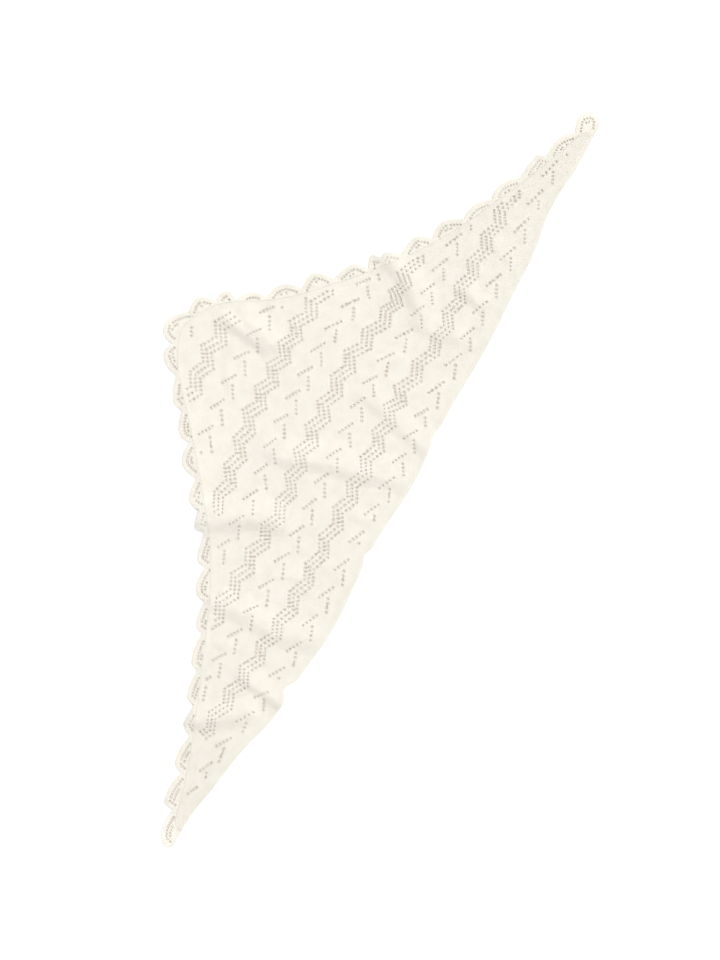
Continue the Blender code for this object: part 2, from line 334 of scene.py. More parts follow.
REPEATS_BEYOND = 30


# %% From the chart to the laid cloth and back
def extended(band):
    """A band's peaks as columns, carried on past both ends at the usual repeat."""
    first, last = band[0], band[-1]
    far = REPEATS_BEYOND * REPEAT_LENGTH
    before = Peak(first.repeat - REPEATS_BEYOND, first.x + far, first.y)
    after = Peak(last.repeat + REPEATS_BEYOND, last.x - far, last.y)
    return np.array([before, *band, after], float).T


BAND_COLUMNS = [extended(band) for band in BANDS]


def laid(repeat, wale):
    """Plan points of places on the chart, counted in repeats and wales."""
    repeat, wale = np.broadcast_arrays(np.asarray(repeat, float), np.asarray(wale, float))
    top = len(BANDS) - 1
    level = np.clip(wale / WALES, 0.0, top)
    lower = np.minimum(level.astype(int), top - 1)
    share = level - lower
    xs = np.array([np.interp(repeat, n, x) for n, x, y in BAND_COLUMNS])
    ys = np.array([np.interp(repeat, n, y) for n, x, y in BAND_COLUMNS])
    pick = np.arange(len(repeat))
    x = xs[lower, pick] * (1.0 - share) + xs[lower + 1, pick] * share
    y = ys[lower, pick] * (1.0 - share) + ys[lower + 1, pick] * share
    y += LOW_WALE * np.minimum(wale, 0.0) + HIGH_WALE * np.maximum(wale - top * WALES, 0.0)
    return np.c_[x, y]


def charted(points):
    """Rows and wales of plan points, the way back from the cloth to the chart."""
    x, y = points.T
    repeats = np.array([np.interp(-x, -bx, n) for n, bx, by in BAND_COLUMNS])
    heights = np.array([np.interp(-x, -bx, by) for n, bx, by in BAND_COLUMNS])
    row = repeats[0].copy()
    wale = (y - heights[0]) / LOW_WALE
    for band in range(len(BANDS) - 1):
        share = (y - heights[band]) / (heights[band + 1] - heights[band])
        row = np.where(share > 0.0, repeats[band] + (repeats[band + 1] - repeats[band])
                       * np.minimum(share, 1.0), row)
        wale = np.where(share > 0.0, (band + np.minimum(share, 1.0)) * WALES, wale)
    over = y > heights[-1]
    wale = np.where(over, (len(BANDS) - 1) * WALES + (y - heights[-1]) / HIGH_WALE, wale)
    return np.c_[row * ROWS, wale]


# %% [markdown]
# A yarn-over leaves a hole, the eyelet, and it is worked every second row. The zigzag steps one
# wale for each eyelet, four down and four up, and its rising side is a little shorter than the
# falling one. The Y has one stroke of five eyelets and one of four.

# %% Eyelets of the panel
STEPS = 8
VALLEY = 0.424
LINES = 3
LINE_WALES = 3
Y_REPEAT = 0.12
Y_WALE = 11
LONG_STROKE = 5
SHORT_STROKE = 4
SHORT_STROKE_AFTER = 3


def zigzag_places():
    """Repeat and wale of each eyelet in the triple zigzag of one repeat."""
    for step in range(STEPS):
        if step <= STEPS // 2:
            share = VALLEY * step / (STEPS // 2)
        else:
            share = VALLEY + (1.0 - VALLEY) * (step - STEPS // 2) / (STEPS // 2)
        down = min(step, STEPS - step)
        for line in range(LINES):
            yield share, -down - LINE_WALES * line


def y_places():
    """Repeat and wale of each eyelet in the slanting Y of one repeat."""
    for step in range(LONG_STROKE):
        yield Y_REPEAT + step / STEPS, Y_WALE + step
    for step in range(SHORT_STROKE):
        yield Y_REPEAT + (SHORT_STROKE_AFTER + step) / STEPS, Y_WALE - 1 - step


chart = []
for repeat in range(FIRST_REPEAT, LAST_REPEAT + 1):
    for band, (first, last) in enumerate(REACH):
        for share, wale in zigzag_places():
            if first < repeat + share < last:
                chart.append((repeat + share, band * WALES + wale))
        chart += [(repeat + share, band * WALES + wale) for share, wale in y_places()]
chart = np.array(chart)
panel_eyelets = laid(chart[:, 0], chart[:, 1])
print(f"{len(panel_eyelets)} eyelets on the whole chart")


# %% [markdown]
# ## Keeping eyelets inside a piece
# The chart runs on past the triangle. An eyelet is kept only where the cloth around it is whole,
# so each one is measured against the piece's outline. A k-d tree finds the nearest point of the
# outline quickly, and counting crossings tells inside from outside.

# %% Inside and nearest
def inside(points, outline):
    """True for points inside a closed outline, by counting crossings."""
    x, y = points.T
    hit = np.zeros(len(points), bool)
    for (x0, y0), (x1, y1) in zip(outline, np.roll(outline, -1, axis=0)):
        if y0 != y1:
            crosses = (y0 > y) != (y1 > y)
            hit ^= crosses & (x < x0 + (y - y0) * (x1 - x0) / (y1 - y0))
    return hit


def tree_of(points):
    """A k-d tree that finds neighbours among plan points."""
    tree = kdtree.KDTree(len(points))
    for index, (x, y) in enumerate(points):
        tree.insert((x, y, 0.0), index)
    tree.balance()
    return tree


def nearest_distance(points, others, skip_self=False):
    """Distance from each point to the nearest of the others."""
    tree = tree_of(others)
    if skip_self:
        return np.array([tree.find_n((x, y, 0.0), 2)[1][2] for x, y in points])
    return np.array([tree.find((x, y, 0.0))[2] for x, y in points])


def resampled(points, step):
    """Points at even steps along an open row of points."""
    rail = Rail(points)
    count = int(np.ceil(rail.length / step)) + 1
    return rail.at(np.linspace(0.0, rail.length, count))


# %% Outline of the panel
EDGE_STEP = 1.3
SEAM_STEP = 2.4
LOOP_RIPPLE = 0.35
LOOP_LENGTH = 3.2


def rippled(points):
    """The edge of real knitting: one small bump for each row along it."""
    rail = Rail(points)
    bumps = LOOP_RIPPLE * np.cos(2.0 * np.pi * rail.along / LOOP_LENGTH)
    ends = np.clip(np.minimum(rail.along, rail.length - rail.along) / LOOP_LENGTH, 0.0, 1.0)
    return points + rail.normals * (bumps * ends)[:, None]


edge_row = long_edge.points.copy()
edge_row[0, 0] += 0.5 * SEAM_GAP
edge_row[-1, 0] -= 0.5 * SEAM_GAP
edge_row = rippled(resampled(edge_row, EDGE_STEP))
seam_count = int(seam.length / SEAM_STEP)
seam_where = np.linspace(0.0, seam.length, seam_count + 1)[1:-1]
seam_row = seam.at(seam_where, -0.5 * SKIN_GAP)
panel_outline = np.vstack([edge_row, seam_row[::-1]])

SEAM_MARGIN = 8.5
LONG_EDGE_MARGIN = 20.0
kept = inside(panel_eyelets, panel_outline)
panel_eyelets = panel_eyelets[kept]
far_from_seam = nearest_distance(panel_eyelets, seam.points) > SEAM_MARGIN
far_from_edge = nearest_distance(panel_eyelets, long_edge.points) > LONG_EDGE_MARGIN
panel_eyelets = panel_eyelets[far_from_seam & far_from_edge]
print(f"{len(panel_eyelets)} eyelets in the panel")

# %% [markdown]
# ## Eyelets of the edging
# Each scallop has an arch of eyelets that follows its rounded edge about 10 mm inside, and a few
# more under the crown. So the arches are the outline itself, moved inward. Moved points that come
# closer to another stretch of the outline belong to no arch and drop out.

# %% Arches of eyelets
Arch = namedtuple("Arch", "inset step shares")
ARCHES = [
    Arch(inset=10.4, step=5.4, shares=(0.0, 1.0)),
    Arch(inset=16.6, step=5.4, shares=(0.36, 0.66)),
]
OUTLINE_SAMPLES = 160
INSET_SLACK = 0.5
whole_rim = seam.at(where, reach)


def arch_eyelets(first, last):
    """Eyelets inside the stretch of outline between two distances along the seam."""
    spots = np.linspace(first, last, OUTLINE_SAMPLES)
    rim = Rail(seam.at(spots, np.interp(spots, where, reach)))
    places = []
    for arch in ARCHES:
        low, high = arch.shares
        along = np.linspace(low, high, OUTLINE_SAMPLES) * rim.length
        moved = rim.at(along, -arch.inset)
        moved = moved[nearest_distance(moved, whole_rim) > arch.inset - INSET_SLACK]
        if len(moved) > 2:
            inner = Rail(moved)
            count = int(round(inner.length / arch.step))
            places += inner.at(np.linspace(0.0, inner.length, count + 1)).tolist()
    return places


stretches = [0.0, *dips, seam.length]
edging_eyelets = []
for first, last in zip(stretches[:-1], stretches[1:]):
    edging_eyelets += arch_eyelets(first, last)
edging_eyelets = np.array(edging_eyelets)
print(f"{len(edging_eyelets)} eyelets drawn on the edging")

# %% Outlines of the two edgings
EDGING_RIM_MARGIN = 5.0
EDGING_SEAM_MARGIN = 2.2
EDGING_EYELET_GAP = 4.2


def edging_outline(first, last):
    """Closed outline of the edging between two distances along the seam."""
    count = int((last - first) / SEAM_STEP)
    inner = seam.at(np.linspace(first, last, count + 1), 0.5 * SKIN_GAP)
    between = (where > first) & (where < last)
    outer_where = np.r_[first, where[between], last]
    outer = seam.at(outer_where, np.interp(outer_where, where, reach))
    outer = rippled(resampled(outer, EDGE_STEP))
    return np.vstack([inner, outer[::-1]])


left_outline = edging_outline(0.0, SPLIT - 0.5 * SEAM_GAP)
right_outline = edging_outline(SPLIT + 0.5 * SEAM_GAP, seam.length)


def eyelets_inside(outline):
    """The eyelets of one edging that have whole cloth around them and between them."""
    found = edging_eyelets[inside(edging_eyelets, outline)]
    rim = nearest_distance(found, whole_rim) > EDGING_RIM_MARGIN
    off_seam = nearest_distance(found, seam.points) > EDGING_SEAM_MARGIN
    kept = []
    for place in found[rim & off_seam]:
        if all(np.hypot(*(place - other)) > EDGING_EYELET_GAP for other in kept):
            kept.append(place)
    return np.array(kept)


left_eyelets = eyelets_inside(left_outline)
right_eyelets = eyelets_inside(right_outline)
print(f"edging eyelets: {len(left_eyelets)} left, {len(right_eyelets)} right")

# %% [markdown]
# ## Cutting the sheets
# A lace sheet could be a plane with a Boolean for each hole, but two thousand cuts are slow and
# leave long slivers. A constrained Delaunay triangulation does it in one step: it takes the
# outline and the rim of each eyelet as fixed edges, and fills the rest with even triangles. A
# point half way between two neighbouring eyelets keeps the bar of yarn there full and light, so
# that the eyelets read as single dots. The same flat mesh is then used twice, for the right side
# and the wrong side of the knitting.

# %% Rims and filling points
EYELET_SIDES = 8
EYELET_LONG = 1.35
EYELET_WIDE = 1.15
EYELET_SHARE = 0.33
EYELET_SIZES = (0.88, 1.08)
EYELET_UNEVEN = (0.93, 1.07)
RIM_CLEARANCE = 1.5
STEP_CLEARANCE = 0.6
BAR_REACH = 7.6
BAR_CLEARANCE = 0.65
BAR_ROOM = 1.1
RIM_RING = 1.0
RING_KEPT = 0.8


def eyelet_rims(centres, rng):
    """A slightly uneven oval for each eyelet, running clockwise."""
    room = nearest_distance(centres, centres, skip_self=True)
    turn = -2.0 * np.pi * np.arange(EYELET_SIDES) / EYELET_SIDES
    rims = []
    for centre, free in zip(centres, room):
        size = min(1.0, EYELET_SHARE * free / EYELET_LONG) * rng.uniform(*EYELET_SIZES)
        oval = np.c_[EYELET_LONG * np.cos(turn), EYELET_WIDE * np.sin(turn)]
        rims.append(centre + oval * size * rng.uniform(*EYELET_UNEVEN, (EYELET_SIDES, 1)))
    return rims


def bars_between(centres):
    """The middle of each bar of yarn between two neighbouring eyelets."""
    tree = tree_of(centres)
    middles = []
    for index, (x, y) in enumerate(centres):
        for place, other, _ in tree.find_range((x, y, 0.0), BAR_REACH):
            if other > index:
                middles.append((0.5 * (x + place.x), 0.5 * (y + place.y)))
    middles = np.array(middles)
    middles = middles[nearest_distance(middles, centres) > EYELET_LONG + BAR_CLEARANCE]
    room = nearest_distance(middles, middles, skip_self=True)
    return middles[room > BAR_CLEARANCE]


def filling_points(outline, centres, step):
    """A row just inside the outline, a honeycomb up to the eyelets, and the bars between them."""
    closed = np.vstack([outline[-1:], outline, outline[:1]])
    ring = outline + RIM_RING * Rail(closed).normals[1:-1]
    ring = ring[nearest_distance(ring, outline) > RING_KEPT * RIM_RING]
    low, high = outline.min(axis=0), outline.max(axis=0)
    xs = np.arange(low[0], high[0], step)
    ys = np.arange(low[1], high[1], step * np.sqrt(0.75))
    grid = np.stack(np.meshgrid(xs, ys), axis=-1)
    grid[1::2, :, 0] += 0.5 * step
    grid = grid.reshape(-1, 2)
    grid = grid[inside(grid, outline)]
    grid = grid[nearest_distance(grid, outline) > RIM_RING + 0.5 * step]
    bars = bars_between(centres)
    grid = grid[nearest_distance(grid, bars) > BAR_ROOM]
    points = np.vstack([ring[inside(ring, outline)], grid])
    clear_of_eyelets = EYELET_LONG + min(RIM_CLEARANCE, STEP_CLEARANCE * step)
    return np.vstack([points[nearest_distance(points, centres) > clear_of_eyelets], bars])


# %% Triangles of one flat piece
MERGE_WITHIN = 1e-5


def flat_piece(outline, centres, seed, step):
    """Plan points, triangles, and the closed rows of points that bound the cloth."""
    rims = eyelet_rims(centres, np.random.default_rng(seed))
    rows = [outline, *rims]
    points = np.vstack([*rows, filling_points(outline, centres, step)])
    loops = []
    start = 0
    for row in rows:
        loops.append(np.arange(start, start + len(row)))
        start += len(row)
    edges = [(int(a), int(b)) for loop in loops for a, b in zip(loop, np.roll(loop, -1))]
    found = delaunay_2d_cdt([Vector(point) for point in points], edges, [], 0, MERGE_WITHIN)
    assert len(found[0]) == len(points), "the outline crosses itself"
    triangles = np.array(found[2])
    owner = np.full(len(points), -1)
    for number, loop in enumerate(loops):
        owner[loop] = number
    owners = owner[triangles]
    same = (owners[:, 0] == owners[:, 1]) & (owners[:, 1] == owners[:, 2])
    in_hole = same & (owners[:, 0] > 0)
    on_outline = same & (owners[:, 0] == 0)
    centroids = points[triangles].mean(axis=1)
    outside = np.zeros(len(triangles), bool)
    outside[on_outline] = ~inside(centroids[on_outline], outline)
    return points, triangles[~(in_hole | outside)], loops


# %% [markdown]
# ## From flat piece to knitted sheet
# Knitting is thick and soft, so its rims are round and it swells between the eyelet lines. The
# right side is the plan raised by the folds and the yarn's thickness, with a low welt half way
# between neighbouring eyelets. The wrong side follows the folds too, and lies on the table
# elsewhere. A strip of faces joins both sides round every rim. Each point also carries two
# numbers for the material: which side it is on, and how much shade is painted on the yarn near
# an eyelet. Over a fold an eyelet is dark already, because it looks into the hollow below, so
# this painted shade is eased there.

# %% Relief and sheet
CLOTH = 1.65
EDGE_DROP = 0.7
HOLE_DROP = 0.25
HOLE_TUCK = 0.2
WELT = 0.42
WELT_AT = 5.0
WELT_WIDTH = 2.2
SINK = 0.25
SINK_WIDTH = 2.6
# Reach of the shade painted on the yarn around each eyelet, and how much of it a fold takes back.
PAINTED_SHADE_REACH = 1.3
FOLD_EASE = 0.55
EASE_HEIGHT = 6.0


def lace_relief(points, centres):
    """Welts between the eyelets and a slight sink beside each, and the distances they use."""
    away = nearest_distance(points, centres)
    welt = WELT * np.exp(-((away - WELT_AT) / WELT_WIDTH) ** 2)
    return welt - SINK * np.exp(-(away / SINK_WIDTH) ** 2), away


def placed(name, data):
    """A new object that holds the data, linked to the scene."""
    body = bpy.data.objects.new(name, data)
    bpy.context.scene.collection.objects.link(body)
    return body


def add_number(mesh, name, values):
    """One number for each point, to be read by the material."""
    layer = mesh.attributes.new(name, "FLOAT", "POINT")
    layer.data.foreach_set("value", values.astype(np.float32))


def knitted_sheet(name, outline, centres, seed, step, thickness_at, place_at):
    """A closed mesh of one knitted piece with its eyelets, and its lay as a UV map."""
    points, triangles, loops = flat_piece(outline, centres, seed, step)
    relief, away = lace_relief(points, centres)
    lift = cloth_lift(points)
    under = lift.copy()
    top = lift + CLOTH + thickness_at(points) + relief
    holes = np.concatenate(loops[1:])
    top[holes] -= HOLE_DROP
    under[holes] += HOLE_TUCK
    edge = loops[0][nearest_distance(outline, seam.points) > SEAM_GAP]
    top[edge] -= EDGE_DROP
    plan = (points - CENTRE) * MM
    verts = np.vstack([np.c_[plan, top * MM], np.c_[plan, under * MM]])
    count = len(points)
    faces = [*triangles.tolist(), *(triangles[:, ::-1] + count).tolist()]
    for loop in loops:
        after = np.roll(loop, -1)
        faces += np.c_[loop + count, after + count, after, loop].tolist()
    mesh = bpy.data.meshes.new(name)
    mesh.from_pydata(verts.tolist(), [], faces)
    mesh.shade_smooth()
    corner = np.zeros(len(mesh.loops), np.int32)
    mesh.loops.foreach_get("vertex_index", corner)
    lay = np.vstack([place_at(points)] * 2)[corner]
    mesh.uv_layers.new(name="lay").uv.foreach_set("vector", lay.astype(np.float32).ravel())
    # Shade painted on the yarn near each eyelet, eased over folds where the hole already lies in
    # real shade.
    from_rim = np.clip(away - EYELET_LONG, 0.0, None)
    eased = 1.0 - FOLD_EASE * np.clip(lift / EASE_HEIGHT, 0.0, 1.0)
    add_number(mesh, "wrong_side", np.repeat([0.0, 1.0], count))
    add_number(mesh, "eyelet_painted_shade", np.tile(eased * np.exp(-(from_rim / PAINTED_SHADE_REACH) ** 2), 2))
    mesh.calc_loop_triangles()
    area = sum(face.area for face in mesh.polygons[:len(triangles)])
    print(f"{name}: {len(mesh.loop_triangles)} triangles, {len(centres)} eyelets, {area:.4f} m2")
    return placed(name, mesh), area


# %% [markdown]
# ## The panel
# Its long edge is its own, and a knitted edge rolls a little to the wrong side, so the cloth is
# thicker there. Nothing is hemmed. Along the seam the panel has its half of the raised heading.

# %% Knit the panel
PANEL_STEP = 3.6
ROLL_RISE = 1.2
ROLL_AT = 3.2
ROLL_WIDTH = 8.0
HEADING_RISE = 0.9
HEADING_WIDTH = 9.0


def panel_thickness(points):
    """Extra thickness where the long edge rolls and where the edging is picked up."""
    roll = bell(nearest_distance(points, long_edge.points) - ROLL_AT, ROLL_WIDTH)
    heading = bell(nearest_distance(points, seam.points), HEADING_WIDTH)
    return ROLL_RISE * roll + HEADING_RISE * heading


panel, panel_area = knitted_sheet(
    "lace_panel_knit", panel_outline, panel_eyelets, seed=3, step=PANEL_STEP,
    thickness_at=panel_thickness, place_at=charted,
)

# %% [markdown]
# ## The edging
# The edging is picked up along the seam and starts with its half of the heading, a close band that
# stands a little proud. The scallops then spread outward, so their stitches are counted along the
# seam and outward from it.

# %% Knit the edging
EDGING_STEP = 2.0
ROW_HEIGHT = 3.2
WALE_WIDTH = 3.4


def seam_place(points):
    """Distance along the seam and outward from it."""
    tree = tree_of(seam.points)
    found = [tree.find((x, y, 0.0)) for x, y in points]
    along = np.array([seam.along[index] for _, index, _ in found])
    return along, np.array([distance for _, _, distance in found])


def edging_thickness(points):
    """The raised heading beside the seam."""
    _, outward = seam_place(points)
    return HEADING_RISE * bell(outward, HEADING_WIDTH)


def edging_lay(points):
    """Rows and wales of the edging."""
    along, outward = seam_place(points)
    return np.c_[outward / ROW_HEIGHT, along / WALE_WIDTH]


left_edging, left_area = knitted_sheet(
    "scallop_edging_left_knit", left_outline, left_eyelets, seed=5, step=EDGING_STEP,
    thickness_at=edging_thickness, place_at=edging_lay,
)
right_edging, right_area = knitted_sheet(
    "scallop_edging_right_knit", right_outline, right_eyelets, seed=7, step=EDGING_STEP,
    thickness_at=edging_thickness, place_at=edging_lay,
)

# %% [markdown]
# ## The joining stitches
# The edging is held by a row of slip stitches, one for each row of the panel's side. Each is a
# short plump strand that crosses the seam at a slant. They are one joined mesh for each leg, made
# from copies of one small oval.

# %% Join the edging
STITCH_LENGTH = 3.3
STITCH_SLANT = 0.55
STITCH_HALF = (1.95, 0.72, 0.62)
STITCH_RINGS = 4
STITCH_SIDES = 6
STITCH_SEAT = -0.35
FREE_AT_TIP = 2.0
FREE_AT_SPLIT = 1.0


def plump_strand():
    """Points and faces of one oval, with its long axis along X."""
    points = [(-1.0, 0.0, 0.0)]
    for ring in range(1, STITCH_RINGS):
        angle = np.pi * ring / STITCH_RINGS
        for side in range(STITCH_SIDES):
            turn = 2.0 * np.pi * side / STITCH_SIDES
            round_at = np.sin(angle)
            points.append((-np.cos(angle), round_at * np.cos(turn), round_at * np.sin(turn)))
    points.append((1.0, 0.0, 0.0))
    faces = []
    last = len(points) - 1
    for side in range(STITCH_SIDES):
        after = (side + 1) % STITCH_SIDES
        faces.append((0, 1 + after, 1 + side))
        for ring in range(STITCH_RINGS - 2):
            near = 1 + ring * STITCH_SIDES
            far = near + STITCH_SIDES
            faces.append((near + side, near + after, far + after, far + side))
        far = 1 + (STITCH_RINGS - 2) * STITCH_SIDES
        faces.append((far + side, far + after, last))
    return np.array(points) * STITCH_HALF, faces


def joining_stitches(name, first, last):
    """One mesh of slanting strands between two distances along the seam."""
    shape, shape_faces = plump_strand()
    count = int((last - first) / STITCH_LENGTH)
    at = first + (np.arange(count) + 0.5) * (last - first) / count
    spots = seam.at(at)
    heading = seam.read(seam.normals, at)
    height = cloth_lift(spots) + CLOTH + STITCH_SEAT
    verts = []
    faces = []
    for spot, normal, level in zip(spots, heading, height):
        along = np.array([normal[1], -normal[0]])
        axis = np.cos(STITCH_SLANT) * along + np.sin(STITCH_SLANT) * normal
        across = np.array([-axis[1], axis[0]])
        plan = spot - CENTRE + shape[:, :1] * axis + shape[:, 1:2] * across
        start = len(verts)
        verts += np.c_[plan, level + shape[:, 2]].tolist()
        faces += [tuple(start + index for index in face) for face in shape_faces]
    mesh = bpy.data.meshes.new(name)
    mesh.from_pydata((np.array(verts) * MM).tolist(), [], faces)
    mesh.shade_smooth()
    print(f"{name}: {count} stitches")
    return placed(name, mesh)


left_stitches = joining_stitches("joining_stitches_left", FREE_AT_TIP, SPLIT - FREE_AT_SPLIT)
right_stitches = joining_stitches(
    "joining_stitches_right", SPLIT + FREE_AT_SPLIT, seam.length - FREE_AT_TIP
)


# %% [markdown]
# ## Shader groups for the knitting
# At this size the stitches are too many to model, so their relief is bump. Two effects are used
# by more than one material and become node groups. The first draws the stitches from the lay,
# which counts rows and wales: a column of small V shapes on the right side, and rows of bumps on
# the wrong side. The second is the yarn itself: fine fibres and the slight change of tone that
# undyed yarn has.

# %% A small helper for node trees
class Wiring:
    """Adds nodes to a tree and joins them, so that a formula reads as one."""

    def __init__(self, tree):
        self.tree = tree

    def add(self, kind, **settings):
        node = self.tree.nodes.new(kind)
        for key, value in settings.items():
            setattr(node, key, value)
        return node

    def put(self, socket, value):
        if isinstance(value, bpy.types.NodeSocket):
            self.tree.links.new(value, socket)
        else:
            socket.default_value = value

    def math(self, operation, *values):
        node = self.add("ShaderNodeMath", operation=operation)
        for socket, value in zip(node.inputs, values):
            self.put(socket, value)
        return node.outputs[0]

    def mix(self, share, first, second):
        difference = self.math("SUBTRACT", second, first)
        return self.math("MULTIPLY_ADD", difference, share, first)

    def hump(self, value):
        """0 at 0 and 1, and 1 half way between."""
        centred = self.math("MULTIPLY_ADD", value, 2.0, -1.0)
        return self.math("SUBTRACT", 1.0, self.math("MULTIPLY", centred, centred))


def new_group(name, inputs, outputs):
    """An empty node group with named sockets, and a Wiring to fill it."""
    group = bpy.data.node_groups.new(name, "ShaderNodeTree")
    for label, kind in inputs:
        group.interface.new_socket(label, in_out="INPUT", socket_type=kind)
    for label, kind in outputs:
        group.interface.new_socket(label, in_out="OUTPUT", socket_type=kind)
    wires = Wiring(group)
    return group, wires, wires.add("NodeGroupInput").outputs, wires.add("NodeGroupOutput").inputs


FLOAT = "NodeSocketFloat"
VECTOR = "NodeSocketVector"


# %% Stitch group
LEG_ROUNDNESS = 0.6
BUMP_SWAY = 0.2


def stitch_group():
    """Height of the knit stitches at a place of the lay."""
    group, wires, given, out = new_group(
        "Knit stitches",
        [("Lay", VECTOR), ("Wrong Side", FLOAT), ("Slant", FLOAT)],
        [("Height", FLOAT)],
    )
    split = wires.add("ShaderNodeSeparateXYZ")
    wires.put(split.inputs[0], given["Lay"])
    row, wale = split.outputs[0], split.outputs[1]
    across = wires.math("FRACT", wale)
    arm = wires.math("ABSOLUTE", wires.math("MULTIPLY_ADD", across, 2.0, -1.0))
    slanted = wires.math("FRACT", wires.math("MULTIPLY_ADD", arm, given["Slant"], row))
    leg = wires.math("MULTIPLY", wires.hump(arm), wires.hump(slanted))
    right_side = wires.math("POWER", leg, LEG_ROUNDNESS)
    sway = wires.math("SINE", wires.math("MULTIPLY", wale, 2.0 * np.pi))
    bent = wires.math("FRACT", wires.math("MULTIPLY_ADD", sway, BUMP_SWAY, row))
    wrong_side = wires.hump(bent)
    wires.put(out["Height"], wires.mix(given["Wrong Side"], right_side, wrong_side))
    return group


# %% Yarn group
def yarn_group():
    """Fibres and tone of the yarn."""
    group, wires, given, out = new_group(
        "Soft yarn",
        [("Lay", VECTOR), ("Fibre Scale", FLOAT), ("Tone Scale", FLOAT)],
        [("Fibres", FLOAT), ("Tone", FLOAT)],
    )
    fibres = wires.add("ShaderNodeTexNoise", noise_dimensions="3D")
    fibres.inputs["Detail"].default_value = 3.0
    fibres.inputs["Roughness"].default_value = 0.65
    wires.put(fibres.inputs["Vector"], given["Lay"])
    wires.put(fibres.inputs["Scale"], given["Fibre Scale"])
    tone = wires.add("ShaderNodeTexNoise", noise_dimensions="3D")
    tone.inputs["Detail"].default_value = 4.0
    wires.put(tone.inputs["Vector"], given["Lay"])
    wires.put(tone.inputs["Scale"], given["Tone Scale"])
    wires.put(out["Fibres"], fibres.outputs["Fac"])
    wires.put(out["Tone"], tone.outputs["Fac"])
    return group


STITCHES = stitch_group()
YARN = yarn_group()
print("groups:", STITCHES.name, "and", YARN.name)

# %% [markdown]
# ## The yarn's finish
# The yarn is a matt ivory. Shade is painted into it, warm in tone: darker in the hollows between
# the stitches and darker still at the rims of eyelets, while the raised legs keep the nearly white
# base. Fine fibres give it a soft sheen at grazing angles. The ramp goes from the tone of the
# stitches' raised legs, over the painted shade between them, to the painted shade at the rims of
# eyelets.
#
# Real knitting lets light through countless gaps that are finer than this mesh. A see-through
# cloth would look like glass. So the cloth is whole for the camera, and a third of each shadow or
# soft bounce passes through it. A little light also spreads inside the yarn, and only 1.5 mm far,
# because a longer reach turns this thin cloth dark.

# %% Helpers for materials
SOFT_SPECULAR = 0.25
SOFT_SHEEN = 0.25


def new_material(name, roughness, specular=SOFT_SPECULAR, sheen=SOFT_SHEEN):
    """A new material, the Wiring of its nodes and its shader."""
    material = bpy.data.materials.new(name)
    material.use_nodes = True
    shader = material.node_tree.nodes["Principled BSDF"]
    shader.inputs["Roughness"].default_value = roughness
    shader.inputs["Specular IOR Level"].default_value = specular
    shader.inputs["Sheen Weight"].default_value = sheen
    return material, Wiring(material.node_tree), shader


def use_yarn(wires, place, fibre_scale, tone_scale):
    """The yarn group, fed with a place on the cloth or in space."""
    yarn = wires.add("ShaderNodeGroup", node_tree=YARN)
    wires.put(yarn.inputs["Lay"], place)
    wires.put(yarn.inputs["Fibre Scale"], fibre_scale)
    wires.put(yarn.inputs["Tone Scale"], tone_scale)
    return yarn


def add_bump(wires, shader, relief, strength, depth):
    """Relief on a shader, with its depth in millimetres."""
    bump = wires.add("ShaderNodeBump")
    bump.inputs["Strength"].default_value = strength
    bump.inputs["Distance"].default_value = depth * MM
    wires.put(bump.inputs["Height"], relief)
    wires.put(shader.inputs["Normal"], bump.outputs["Normal"])


# %% Knit material
# Ramp tones: the raised stitch legs, painted shade between stitches (also the darker end of the
# strands' own tone), and painted shade at eyelet rims.
IVORY_LIGHT = (0.775, 0.745, 0.675, 1.0)
IVORY_DEEP = (0.690, 0.645, 0.560, 1.0)
IVORY_PAINTED_SHADE = (0.460, 0.410, 0.335, 1.0)
YARN_GLOW = 0.4
GLOW_REACH = 1.5
GAPS = 0.33
HOLLOW_SHADE = 0.45
EYELET_SHADE = 1.9
UNEVEN_TONE = 1.3
SHADE_SHARE = 0.6
DEEP_AT = 0.6
STITCH_DEPTH = 0.9
FIBRE_SHARE = 0.35
FIBRE_SCALE = 4.0


